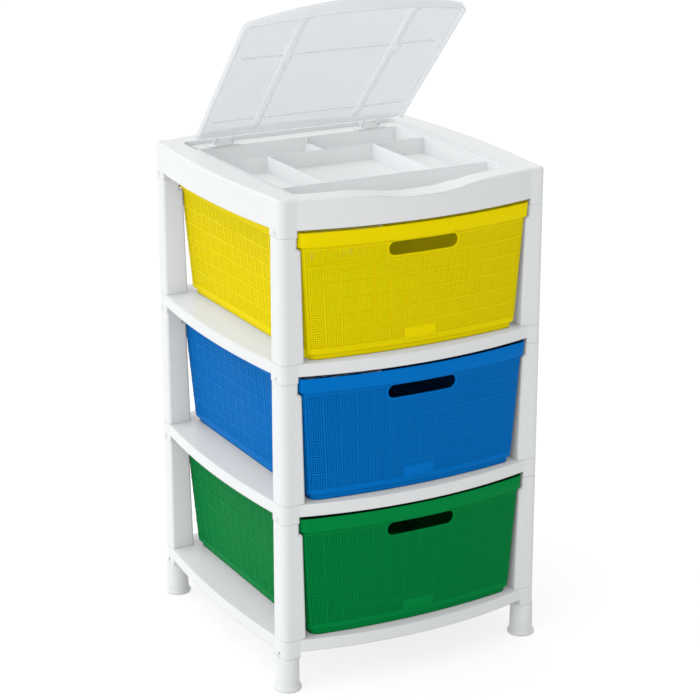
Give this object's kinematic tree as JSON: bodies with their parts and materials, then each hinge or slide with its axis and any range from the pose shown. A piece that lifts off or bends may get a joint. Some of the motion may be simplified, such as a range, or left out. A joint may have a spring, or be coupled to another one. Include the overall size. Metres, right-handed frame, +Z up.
{
  "type": "plastic drawer tower",
  "caption": "Drawer tower on round feet, with woven-look bins that slide out between bowed shelves and a divided tray under a clear hinged lid on top.",
  "frame": {"origin": "middle of the footprint, on the floor", "axes": "+X to the right along the drawer fronts, +Y from the fronts to the rear, +Z up"},
  "size_m": [0.3798, 0.402, 0.8244],
  "materials": {
    "white_plastic": "satin white",
    "yellow_plastic": "satin",
    "blue_plastic": "satin",
    "green_plastic": "satin",
    "clear_plastic": "clear, slightly frosted"
  },
  "bodies": {
    "tower": {"top_deck": "white_plastic", "hinge_clip_left": "white_plastic", "hinge_clip_right": "white_plastic", "base_shelf": "white_plastic", "middle_shelf": "white_plastic", "upper_shelf": "white_plastic", "lower_post_front_left": "white_plastic", "lower_post_front_right": "white_plastic", "lower_post_rear_left": "white_plastic", "lower_post_rear_right": "white_plastic", "middle_post_front_left": "white_plastic", "middle_post_front_right": "white_plastic", "middle_post_rear_left": "white_plastic", "middle_post_rear_right": "white_plastic", "upper_post_front_left": "white_plastic", "upper_post_front_right": "white_plastic", "upper_post_rear_left": "white_plastic", "upper_post_rear_right": "white_plastic", "foot_front_left": "white_plastic", "foot_front_right": "white_plastic", "foot_rear_left": "white_plastic", "foot_rear_right": "white_plastic"},
    "lower_drawer": {"lower_drawer": "green_plastic"},
    "middle_drawer": {"middle_drawer": "blue_plastic"},
    "upper_drawer": {"upper_drawer": "yellow_plastic"},
    "lid": {"lid": "clear_plastic"}
  },
  "joints": [
    {"name": "lid_hinge", "type": "hinge", "parent": "tower", "child": "lid", "pos_m": [0, 0.1305, 0.6225], "axis": [-1, 0, 0], "range_deg": [-47.3, 57]},
    {"name": "lower_drawer_slide", "type": "slide", "parent": "tower", "child": "lower_drawer", "axis": [0, -1, 0], "range_m": [0, 0.28]},
    {"name": "middle_drawer_slide", "type": "slide", "parent": "tower", "child": "middle_drawer", "axis": [0, -1, 0], "range_m": [0, 0.28]},
    {"name": "upper_drawer_slide", "type": "slide", "parent": "tower", "child": "upper_drawer", "axis": [0, -1, 0], "range_m": [0, 0.28]}
  ]
}
